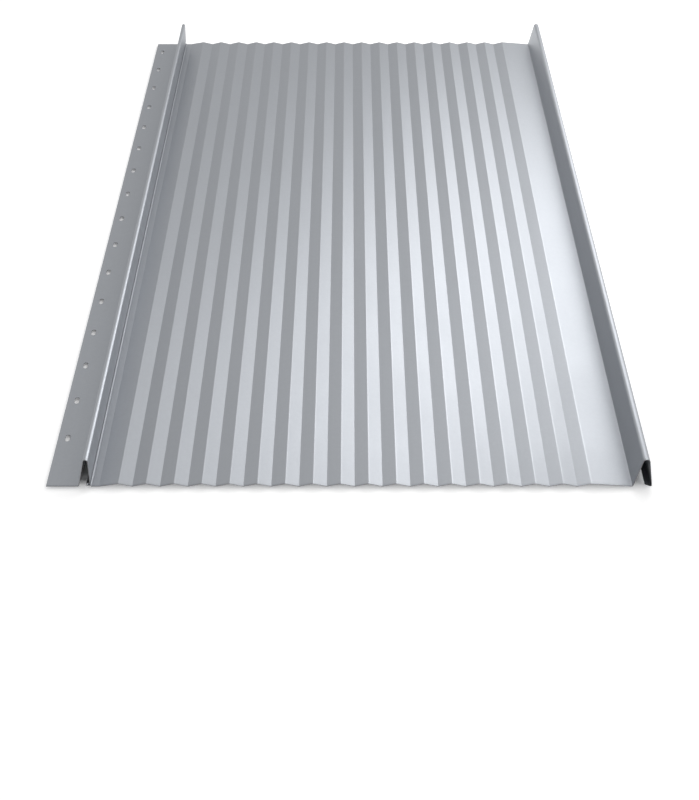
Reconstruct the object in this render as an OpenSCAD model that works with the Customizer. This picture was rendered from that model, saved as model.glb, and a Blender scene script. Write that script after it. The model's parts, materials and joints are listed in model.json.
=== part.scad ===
// Self-locking standing seam roof panel, roll-formed from one strip of thin galvanised steel.
// A slotted fixing flange runs along its left edge, beside the locking rib.
// The pan between the two ribs has sharp shallow waves, and the open seam on the right
// snaps over the locking rib of the next panel.
// X runs across the panel, Y along it, and Z up from the deck that it lies on.

/* [Sheet] */
// Length of the panel, cut square at both ends
panel_l = 1000; // [300:10:3000]
// Thickness of the sheet
sheet_t = 0.5; // [0.4:0.05:0.7]
// Inside radius of the bends
bend_r = 0.8; // [0.5:0.05:1]

/* [Pan] */
// Number of wave crests across the pan
wave_count = 18; // [2:1:30]
// Distance from one wave crest to the next
wave_pitch = 25.1; // [15:0.1:40]
// Height of a wave, from valley to crest
wave_h = 3; // [1:0.1:4]
// Width of the plain strip from the locking rib to the first crest
rib_strip_w = 24.3; // [12:0.1:60]
// Width of the level seat at the foot of that strip, where a seam's lip comes to lie
seat_w = 7; // [6:0.5:9]
// Width of the plain strip from the last crest to the open seam
seam_strip_w = 37.5; // [15:0.5:60]

/* [Locking rib] */
// Width of the fixing flange
flange_w = 29.5; // [20:0.5:50]
// Outside height of the rib
rib_h = 30.5; // [22:0.5:45]
// Width of the rib's rounded top, between the corners that its round fills
rib_top_w = 3.7; // [2.6:0.1:6]
// How far the sloping leg leans over, from its foot to its top
leg_lean = 7; // [5:0.5:12]
// How far the upright leg leans in, from its top to the notch
leg_tuck = 0.3; // [0:0.1:2.5]
// Clear height of the locking notch at the foot of the upright leg
notch_h = 2.2; // [1.8:0.1:5]
// Depth of the locking notch, in from the foot of the upright leg
notch_d = 3; // [2.8:0.1:4.8]
// Height of the notch's sill above the foot of the pan
sill_h = 1; // [0.9:0.05:1.6]
// How far the sill stands out from the foot of the upright leg
sill_w = 0.6; // [0.5:0.1:4]
// How far the sill's fall to the pan leans out
sill_lean = 0.5; // [0.2:0.1:2]

/* [Open seam] */
// Clearance between the seam and the rib that it covers
seam_gap = 0.3; // [0.1:0.05:0.6]
// How far the outer leg leans out, from its top to its lip
lip_lean = 5; // [4:0.5:9]
// How far the hook reaches into the notch of the rib that it covers
hook_bite = 0.6; // [0.4:0.1:2.2]

/* [Fixing slots] */
// Length of a slot, along the panel
slot_l = 10; // [6:0.5:25]
// Width of a slot
slot_w = 4.5; // [3:0.5:6]
// Distance from one slot to the next
slot_pitch = 60; // [30:5:150]
// Distance from the panel's front end to the first slot's middle
slot_first = 71.5; // [20:0.5:140]
// Distance from the flange's outer edge to the slots' middle
slot_inset = 9.1; // [6:0.1:16]
// Least distance from the last slot's middle to the panel's back end
slot_end_min = 20; // [10:1:60]

/* [Hidden] */
$fn = 48;
// Most that one flat stretch of a bend turns through, in degrees
bend_step = 15;
// Flat stretch that is left between two rounds that fill the space between them
round_rest = 0.1;
// How far a cutting shape runs past the face that it cuts
cut_past = 1;

// The section is drawn along the middle of the sheet.
half_t = sheet_t / 2;
mid_r = bend_r + half_t;

// Heights of the sheet's middle at the foot, the sill and the roof of the notch
foot_z = half_t;
sill_z = foot_z + sill_h;
notch_z = sill_z + sheet_t + notch_h;

// The seam stands higher than the rib by its clearance, and its sloping leg has the rib's slope.
// It comes to lie one sheet thickness above the deck, because its foot rests on the next flange.
seam_h = rib_h + seam_gap;
rib_rise = rib_h - sheet_t;
seam_rise = seam_h - sheet_t;
seam_leg_lean = leg_lean * seam_rise / rib_rise;
leg_angle = atan2(rib_rise, leg_lean);
// How far the seam's foot then stands outside the rib's foot
foot_offset = (sheet_t + seam_gap - sheet_t * cos(leg_angle)) / sin(leg_angle);
seam_top_w = rib_top_w + sheet_t + seam_gap + foot_offset - (seam_leg_lean - leg_lean);

// The rib's top is one full round, and the seam's round lies around it with the same centre.
tuck_angle = atan2(leg_tuck, rib_h - half_t - notch_z);
rib_round = (rib_top_w - round_rest) / (tan(leg_angle / 2) + tan(45 + tuck_angle / 2));
seam_round = rib_round + sheet_t + seam_gap;
// The two bends at the back of the notch share its height, and its sill is pressed tight.
notch_round = min(mid_r, (sheet_t + notch_h - round_rest) / 2);
sill_round = sheet_t;

hook_run = lip_lean + sheet_t + seam_gap + leg_tuck + hook_bite;
hook_tip_z = sill_z + notch_h - seam_gap - sheet_t;

// Places across the panel, from the flange's outer edge
rib_top_x = flange_w + leg_lean;
rib_leg_x = rib_top_x + rib_top_w;
notch_x = rib_leg_x - leg_tuck;
sill_x = notch_x + sill_w;
pan_x = sill_x + sill_lean;
seat_x = pan_x + seat_w;
first_crest_x = pan_x + rib_strip_w;
last_crest_x = first_crest_x + (wave_count - 1) * wave_pitch;
seam_x = last_crest_x + seam_strip_w;
seam_top_x = seam_x + seam_leg_lean;
lip_top_x = seam_top_x + seam_top_w;
lip_x = lip_top_x + lip_lean;

slot_count = floor((panel_l - slot_first - slot_end_min) / slot_pitch) + 1;

// Corners of the sheet's middle line, from the flange's outer edge to the tip of the hook.
// A third number is the middle line's own radius at that bend.
rib_corners = [
    [0, foot_z],
    [flange_w, foot_z],
    [rib_top_x, rib_h - half_t, rib_round],
    [rib_leg_x, rib_h - half_t, rib_round],
    [notch_x, notch_z],
    [notch_x - notch_d, notch_z, notch_round],
    [notch_x - notch_d, sill_z, notch_round],
    [sill_x, sill_z, sill_round],
    [pan_x, foot_z, sill_round],
    [seat_x, foot_z]
];
wave_corners = [
    for (i = [0 : 2 * (wave_count - 1)])
        [first_crest_x + i * wave_pitch / 2, foot_z + (i % 2 == 0 ? wave_h : 0)]
];
seam_corners = [
    [seam_x, foot_z],
    [seam_top_x, seam_h - half_t, seam_round],
    [lip_top_x, seam_h - half_t, seam_round],
    [lip_x, 0],
    [lip_x - hook_run, hook_tip_z]
];
middle_line = concat(rib_corners, wave_corners, seam_corners);

function unit(v) = v / norm(v);
function left_of(v) = [-v.y, v.x];
function turned(v, a) = [v.x * cos(a) - v.y * sin(a), v.x * sin(a) + v.y * cos(a)];

function place(corner) = [corner.x, corner.y];
function round_at(corner) = len(corner) > 2 ? corner.z : mid_r;

// Points of one face of the sheet around the place p, bent by r between the directions a and b.
// The face lies that far to the left of the middle line, or to its right if away is negative.
function bend(p, r, a, b, away) =
    let (
        angle = atan2(cross(a, b), a * b),
        side = sign(angle),
        steps = ceil(abs(angle) / bend_step),
        start = p - a * r * tan(abs(angle) / 2),
        centre = start + side * r * left_of(a)
    )
    [
        for (i = [0 : steps])
            centre - (side * r - away) * turned(left_of(a), angle * i / steps)
    ];

// One face of the sheet along a whole line of corners
function face(line, away) =
    let (
        last = len(line) - 1,
        runs = [for (i = [0 : last - 1]) unit(place(line[i + 1]) - place(line[i]))]
    )
    [
        place(line[0]) + away * left_of(runs[0]),
        for (i = [1 : last - 1])
            each bend(place(line[i]), round_at(line[i]), runs[i - 1], runs[i], away),
        place(line[last]) + away * left_of(runs[last - 1])
    ];

function reversed(list) = [for (i = [len(list) - 1 : -1 : 0]) list[i]];

section = concat(face(middle_line, half_t), reversed(face(middle_line, -half_t)));
panel_w = max([for (p = section) p.x]);

// The formed strip, before its flange is punched
module formed_sheet() {
    translate([-panel_w / 2, panel_l / 2, 0])
        rotate([90, 0, 0])
            linear_extrude(panel_l)
                polygon(section);
}

// One round-ended slot, standing clear of both faces of the flange
module slot() {
    end_y = (slot_l - slot_w) / 2;
    cut_h = sheet_t + 2 * cut_past;
    translate([0, 0, -cut_past]) {
        for (y = [-end_y, end_y])
            translate([0, y, 0])
                cylinder(d = slot_w, h = cut_h);
        translate([-slot_w / 2, -end_y, 0])
            cube([slot_w, 2 * end_y, cut_h]);
    }
}

// The row of slots along the flange
module slots() {
    for (i = [0 : slot_count - 1])
        translate([slot_inset - panel_w / 2, slot_first + i * slot_pitch - panel_l / 2, 0])
            slot();
}

module roof_panel() {
    color([0.62, 0.64, 0.66])
        difference() {
            formed_sheet();
            slots();
        }
}

roof_panel();
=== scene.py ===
"""Looks for the roof panel: a formed sheet of galvanised steel on a pale studio floor."""

import json
import math

import bpy
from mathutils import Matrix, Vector


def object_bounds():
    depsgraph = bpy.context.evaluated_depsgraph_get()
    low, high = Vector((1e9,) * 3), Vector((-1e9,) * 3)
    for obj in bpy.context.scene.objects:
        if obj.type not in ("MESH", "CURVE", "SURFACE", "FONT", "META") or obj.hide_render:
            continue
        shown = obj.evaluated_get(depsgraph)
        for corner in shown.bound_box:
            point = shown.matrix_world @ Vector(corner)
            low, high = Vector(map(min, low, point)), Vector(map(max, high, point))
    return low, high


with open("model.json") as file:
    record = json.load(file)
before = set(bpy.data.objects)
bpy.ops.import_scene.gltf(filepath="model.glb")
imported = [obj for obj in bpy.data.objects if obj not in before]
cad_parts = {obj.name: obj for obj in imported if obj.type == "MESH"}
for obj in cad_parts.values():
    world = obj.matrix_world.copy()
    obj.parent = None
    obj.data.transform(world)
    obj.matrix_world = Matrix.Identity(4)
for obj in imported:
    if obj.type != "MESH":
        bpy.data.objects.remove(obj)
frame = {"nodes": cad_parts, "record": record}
cad_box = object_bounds()

# Camera, worked out from the panel's perspective in the photograph (metres, degrees, pixels)
PHOTO_H = 800
FOCAL_PX = 1528.0
SENSOR_MM = 36.0
CAMERA_AT = (0.00059, -1.570, 0.873)
CAMERA_PITCH = 35.966
CAMERA_NEAR = 0.01

# Places in the sheet, from the frame (metres)
MM = 0.001
mounts = {mount["name"]: mount for mount in frame["record"]["mounts"]}
first_slots = mounts["slots_1_2"]
SLOT_PITCH = first_slots["dims"]["spacing_y_mm"] * MM
SLOT_L = first_slots["dims"]["slot_length_mm"] * MM
SLOT_W = first_slots["dims"]["hole_r_mm"] * 2 * MM
SLOT_X = first_slots["pos_m"][0]
SLOT_FIRST_Y = first_slots["pos_m"][1] - SLOT_PITCH / 2
RIB_TOP_X, _, RIB_TOP_Z = mounts["locking_rib"]["pos_m"]
FLANGE_EDGE_X = cad_box[0][0]
SEAM_EDGE_X = cad_box[1][0]
HALF_LENGTH = cad_box[1][1]

# The crests of the pan's waves, as in the CAD source (metres)
WAVE_COUNT = 18
WAVE_PITCH = 0.0251
WAVE_FIRST_X = -0.208033
WAVE_LAST_X = WAVE_FIRST_X + WAVE_PITCH * (WAVE_COUNT - 1)

# Colours of the zinc coating, of the sheared steel under it, darkened further as painted shade, and of what
# is plain white
ZINC = (0.386, 0.402, 0.428)
BARE_STEEL_AND_SHADE = (0.20, 0.20, 0.205, 1.0)
WHITE = (1.0, 1.0, 1.0, 1.0)

# Textures of the coating: cloudy mottle, fine grain, lines along the rolls and small crystals (per metre)
CLOUD_NOISE = {"Scale": 11.0, "Detail": 4.0, "Roughness": 0.55}
GRAIN_NOISE = {"Scale": 1500.0, "Detail": 2.0, "Roughness": 0.6}
LINE_NOISE = {"Scale": 1.0, "Detail": 3.0, "Roughness": 0.6}
LINE_STRETCH = (900.0, 5.0, 900.0)
CRYSTAL_SCALE = 420.0

# How much each texture changes the tone and the roughness
CLOUD_TONE = 0.050
GRAIN_TONE = 0.030
LINE_TONE = 0.060
CRYSTAL_TONE = 0.020
ROUGHNESS = 0.505
CLOUD_ROUGHNESS = 0.08
LINE_ROUGHNESS = 0.06

# Fine relief of the grain and the lines (metres)
BUMP_STRENGTH = 0.10
BUMP_HEIGHT = 0.0002
LINE_RELIEF = 0.5

# Wave crests, rubbed smoother (metres)
CREST_HALF = 0.0016
CREST_CORE = 0.0004
CREST_ROUGHNESS = -0.06

# The rib's crown on the pan's side: a painted highlight that fades out towards the far end, and smoother
# there (metres)
CROWN_DEPTH = 0.0022
CROWN_FROM = -0.0007
CROWN_TO = 0.0001
CROWN_NEAR_Y = 0.0
CROWN_FAR_Y = 0.6
CROWN_PAINTED_HIGHLIGHT = 0.39
CROWN_ROUGHNESS = -0.02

# Rims of the slots, left darker and smoother by the tools, and along the cut ends a painted shade band that
# is also smoother (metres)
RIM_OUT = 0.0011
RIM_IN = 0.0002
RIM_TONE = -0.05
RIM_ROUGHNESS = -0.05
END_RIM_OUT = 0.0026
END_RIM_IN = 0.0005
END_PAINTED_SHADE = -0.20

# Sheared faces, of bare and rougher steel, darkened as painted shade (metres)
CUT_OUT = 0.00006
CUT_IN = 0.00002
CUT_ROUGHNESS = 0.12

# The room's level, where 1 is white, and the share by which it is lighter on the right
ROOM_LEVEL = 0.80
ROOM_TILT = 0.19

# Soft boxes: where each stands and its power, what they all face, and their width (metres, watts)
SOFTBOXES = {
    "far_softbox": ((0.42, 0.62, 0.45), 1.04),
    "near_softbox": ((0.37, 0.24, 0.45), 1.46),
    "middle_softbox": ((0.04, 0.00, 0.45), 0.32),
}
SOFTBOX_AIM = (0.1, -0.1, 0.0)
SOFTBOX_SIZE = 0.48

# The floor, as far under the panel as the photograph's slots show it (metres)
FLOOR_HALF = 20.0
FLOOR_Z = -0.0026
FLOOR_TONE = 0.94

# The slope round the floor, which hides its horizon in low views (metres)
SLOPE_HALF = 24.0
SLOPE_RISE = 2.4

# The floor's lift to white and the slope's extra lift, and where it fades out under the panel (metres)
FLOOR_LIFT = 0.27
SLOPE_LIFT = 0.20
LIFT_FROM = -0.014
LIFT_TO = -0.002


class Graph:
    """A short way to write a material's nodes."""

    def __init__(self, name):
        self.material = bpy.data.materials.new(name)
        self.material.use_nodes = True
        self.tree = self.material.node_tree
        self.tree.nodes.clear()

    def put(self, value, socket):
        """Link a socket's value, or set a constant on it."""
        if isinstance(value, bpy.types.NodeSocket):
            self.tree.links.new(value, socket)
        else:
            socket.default_value = value

    def node(self, kind, props=None, **sockets):
        """A new node with its properties and its inputs, whose names have _ for a space."""
        made = self.tree.nodes.new(kind)
        for key, value in (props or {}).items():
            setattr(made, key, value)
        for key, value in sockets.items():
            self.put(value, made.inputs[key.replace("_", " ")])
        return made

    def math(self, operation, *values):
        """The result of a math node."""
        made = self.tree.nodes.new("ShaderNodeMath")
        made.operation = operation
        for value, socket in zip(values, made.inputs):
            self.put(value, socket)
        return made.outputs[0]

    def product(self, first, *others):
        """All the values multiplied."""
        for other in others:
            first = self.math("MULTIPLY", first, other)
        return first

    def largest(self, first, *others):
        """The largest of the values."""
        for other in others:
            first = self.math("MAXIMUM", first, other)
        return first

    def add(self, base, value, amount):
        """The base plus an amount of the value."""
        return self.math("MULTIPLY_ADD", value, amount, base)

    def vary(self, base, *textures):
        """The base, changed by textures around their middle of a half."""
        for texture, amount in textures:
            base = self.add(self.math("SUBTRACT", base, amount / 2), texture, amount)
        return base

    def ramp(self, value, low, high):
        """A smooth step from 0 at low to 1 at high."""
        made = self.node("ShaderNodeMapRange", {"interpolation_type": "SMOOTHSTEP"}, Value=value,
                         From_Min=low, From_Max=high)
        return made.outputs["Result"]

    def repeat(self, value, first, pitch):
        """How far the value is from the nearest of a row of places."""
        turn = self.math("FLOORED_MODULO", self.math("SUBTRACT", value, first - pitch / 2), pitch)
        return self.math("ABSOLUTE", self.math("SUBTRACT", turn, pitch / 2))

    def noise(self, coords, settings):
        """A noise texture with the scale, detail and roughness in the settings."""
        made = self.node("ShaderNodeTexNoise", {"noise_dimensions": "3D"}, Vector=coords, **settings)
        return made.outputs["Fac"]

    def mix(self, factor, first, second):
        """A colour from the first at a factor of 0 to the second at 1."""
        made = self.node("ShaderNodeMixRGB", Fac=factor, Color1=first, Color2=second)
        return made.outputs["Color"]

    def finish(self, shader):
        """The material, with this shader as its surface."""
        out = self.node("ShaderNodeOutputMaterial")
        self.tree.links.new(shader, out.inputs["Surface"])
        return self.material


def galvanised_sheet():
    """Skin-passed zinc coating: fine grain, faint rolling lines and cloudy mottle, bare steel at the cuts
    darkened as painted shade, a painted shade band along the cut ends and a painted highlight along the top
    of the locking rib.
    """
    g = Graph("galvanised_sheet")
    coords = g.node("ShaderNodeTexCoord").outputs["Object"]
    x, y, z = g.node("ShaderNodeSeparateXYZ", Vector=coords).outputs
    from_middle = g.math("ABSOLUTE", y)

    cloud = g.noise(coords, CLOUD_NOISE)
    grain = g.noise(coords, GRAIN_NOISE)
    along_rolls = g.node("ShaderNodeMapping", {"vector_type": "POINT"}, Vector=coords, Scale=LINE_STRETCH)
    lines = g.noise(along_rolls.outputs["Vector"], LINE_NOISE)
    crystals = g.node("ShaderNodeTexVoronoi", {"feature": "F1"}, Vector=coords, Scale=CRYSTAL_SCALE)
    crystal = g.node("ShaderNodeSeparateColor", Color=crystals.outputs["Color"]).outputs["Red"]

    # Distance from the edge of the nearest slot: its punched wall, and the rim drawn in by the punch
    along = g.repeat(y, SLOT_FIRST_Y, SLOT_PITCH)
    past_end = g.math("MAXIMUM", g.math("SUBTRACT", along, (SLOT_L - SLOT_W) / 2), 0.0)
    across = g.math("SUBTRACT", x, SLOT_X)
    reach = g.math("SQRT", g.add(g.math("MULTIPLY", past_end, past_end), across, across))
    slot_edge = g.math("SUBTRACT", reach, SLOT_W / 2)
    on_row = g.math("GREATER_THAN", y, SLOT_FIRST_Y - SLOT_PITCH / 2)
    slot_wall = g.product(on_row, g.ramp(slot_edge, CUT_OUT, CUT_IN))
    slot_rim = g.product(on_row, g.ramp(slot_edge, RIM_OUT, RIM_IN))

    # Sheared faces at the ends and along the flange, bare steel darkened as painted shade
    end_face = g.ramp(from_middle, HALF_LENGTH - CUT_OUT, HALF_LENGTH - CUT_IN)
    side_face = g.ramp(x, FLANGE_EDGE_X + CUT_OUT, FLANGE_EDGE_X + CUT_IN)
    bare = g.largest(end_face, side_face, slot_wall)
    # Painted shade: a darker band along both cut ends
    end_shade_and_rim = g.ramp(from_middle, HALF_LENGTH - END_RIM_OUT, HALF_LENGTH - END_RIM_IN)

    # Crests of the waves, rubbed by the rolls
    after_first = g.math("GREATER_THAN", x, WAVE_FIRST_X - CREST_HALF)
    before_last = g.math("LESS_THAN", x, WAVE_LAST_X + CREST_HALF)
    on_crest = g.ramp(g.repeat(x, WAVE_FIRST_X, WAVE_PITCH), CREST_HALF, CREST_CORE)
    crest = g.product(after_first, before_last, on_crest)

    # Crown of the locking rib, in the left half of the panel: a painted highlight on the pan's side that
    # fades out towards the far end, and smoother there
    left_half = g.math("LESS_THAN", x, 0.0)
    near_top = g.ramp(z, RIB_TOP_Z - CROWN_DEPTH, RIB_TOP_Z)
    pan_side = g.ramp(x, RIB_TOP_X + CROWN_FROM, RIB_TOP_X + CROWN_TO)
    near_end = g.ramp(y, CROWN_FAR_Y, CROWN_NEAR_Y)
    crown_highlight_and_smoothing = g.product(left_half, near_top, pan_side, near_end)

    tone = g.vary(1.0, (cloud, CLOUD_TONE), (grain, GRAIN_TONE), (lines, LINE_TONE), (crystal, CRYSTAL_TONE))
    tone = g.add(tone, slot_rim, RIM_TONE)
    # Painted shade band along the cut ends
    tone = g.add(tone, end_shade_and_rim, END_PAINTED_SHADE)
    # Painted highlight along the rib's crown
    tone = g.add(tone, crown_highlight_and_smoothing, CROWN_PAINTED_HIGHLIGHT)
    zinc = g.node("ShaderNodeVectorMath", {"operation": "SCALE"}, Vector=ZINC, Scale=tone)
    # Bare steel at the cuts, darkened as painted shade
    colour = g.mix(bare, zinc.outputs["Vector"], BARE_STEEL_AND_SHADE)

    rough = g.vary(ROUGHNESS, (cloud, CLOUD_ROUGHNESS), (lines, LINE_ROUGHNESS))
    rough = g.add(rough, crest, CREST_ROUGHNESS)
    rough = g.add(rough, crown_highlight_and_smoothing, CROWN_ROUGHNESS)
    rough = g.add(rough, g.largest(slot_rim, end_shade_and_rim), RIM_ROUGHNESS)
    rough = g.add(rough, bare, CUT_ROUGHNESS)

    relief = g.add(grain, lines, LINE_RELIEF)
    bump = g.node("ShaderNodeBump", Strength=BUMP_STRENGTH, Distance=BUMP_HEIGHT, Height=relief)
    shader = g.node("ShaderNodeBsdfPrincipled", Base_Color=colour, Metallic=1.0, Roughness=rough,
                    Normal=bump.outputs["Normal"])
    return g.finish(shader.outputs["BSDF"])


def pale_floor():
    """A matt white studio floor, lifted to white around the sheet where it is seen or mirrored."""
    g = Graph("pale_floor")
    coords = g.node("ShaderNodeTexCoord").outputs["Object"]
    x, y, z = g.node("ShaderNodeSeparateXYZ", Vector=coords).outputs
    left_of_panel = g.math("SUBTRACT", FLANGE_EDGE_X, x)
    right_of_panel = g.math("SUBTRACT", x, SEAM_EDGE_X)
    beyond_ends = g.math("SUBTRACT", g.math("ABSOLUTE", y), HALF_LENGTH)
    clear = g.ramp(g.largest(left_of_panel, right_of_panel, beyond_ends), LIFT_FROM, LIFT_TO)
    on_slope = g.math("GREATER_THAN", z, 0.0)
    level = g.add(FLOOR_LIFT, on_slope, SLOPE_LIFT)
    path = g.node("ShaderNodeLightPath").outputs
    seen = g.largest(path["Is Camera Ray"], path["Is Glossy Ray"], path["Is Transmission Ray"])
    matt = g.node("ShaderNodeBsdfDiffuse", Color=(FLOOR_TONE, FLOOR_TONE, FLOOR_TONE, 1.0))
    lift = g.node("ShaderNodeEmission", Color=WHITE, Strength=g.product(seen, clear, level))
    both = g.node("ShaderNodeAddShader")
    g.tree.links.new(matt.outputs["BSDF"], both.inputs[0])
    g.tree.links.new(lift.outputs["Emission"], both.inputs[1])
    return g.finish(both.outputs["Shader"])


def studio_room():
    """Even surroundings, a little lighter on the right."""
    world = bpy.data.worlds.new("studio")
    world.use_nodes = True
    tree = world.node_tree
    coords = tree.nodes.new("ShaderNodeTexCoord")
    split = tree.nodes.new("ShaderNodeSeparateXYZ")
    level = tree.nodes.new("ShaderNodeMath")
    level.operation = "MULTIPLY_ADD"
    tree.links.new(coords.outputs["Generated"], split.inputs["Vector"])
    tree.links.new(split.outputs["X"], level.inputs[0])
    level.inputs[1].default_value = ROOM_LEVEL * ROOM_TILT
    level.inputs[2].default_value = ROOM_LEVEL
    background = tree.nodes["Background"]
    background.inputs["Color"].default_value = WHITE
    tree.links.new(level.outputs["Value"], background.inputs["Strength"])
    return world


def soft_box(name, at, power):
    """A square area lamp that faces the panel and that the camera doesn't see."""
    data = bpy.data.lights.new(name, "AREA")
    data.shape = "SQUARE"
    data.size = SOFTBOX_SIZE
    data.energy = power
    lamp = bpy.data.objects.new(name, data)
    bpy.context.scene.collection.objects.link(lamp)
    lamp.location = at
    lamp.rotation_euler = (Vector(SOFTBOX_AIM) - Vector(at)).to_track_quat("-Z", "Y").to_euler()
    lamp.visible_camera = False


# Camera
camera_data = bpy.data.cameras.new("camera")
camera_data.sensor_fit = "AUTO"
camera_data.sensor_width = SENSOR_MM
camera_data.lens = FOCAL_PX / PHOTO_H * SENSOR_MM
camera_data.clip_start = CAMERA_NEAR
camera = bpy.data.objects.new("camera", camera_data)
bpy.context.scene.collection.objects.link(camera)
camera.location = CAMERA_AT
camera.rotation_euler = (math.radians(90.0 - CAMERA_PITCH), 0.0, 0.0)
bpy.context.scene.camera = camera

# The panel
sheet = galvanised_sheet()
for slot in frame["nodes"]["roof_panel"].material_slots:
    slot.material = sheet

# Floor: a level square, and a slope outside each of its edges
corners = [(-1, -1), (1, -1), (1, 1), (-1, 1)]
sides = len(corners)
rings = [(FLOOR_HALF, FLOOR_Z), (SLOPE_HALF, SLOPE_RISE)]
floor_points = [(half * x, half * y, z) for half, z in rings for x, y in corners]
slopes = [(i, i + sides, (i + 1) % sides + sides, (i + 1) % sides) for i in range(sides)]
floor_mesh = bpy.data.meshes.new("floor")
floor_mesh.from_pydata(floor_points, [], [tuple(range(sides))] + slopes)
floor_mesh.materials.append(pale_floor())
floor = bpy.data.objects.new("floor", floor_mesh)
bpy.context.scene.collection.objects.link(floor)

# Light: an even room, and soft boxes over the panel
bpy.context.scene.world = studio_room()
for name, (at, power) in SOFTBOXES.items():
    soft_box(name, at, power)

bpy.context.scene.view_settings.view_transform = "Standard"
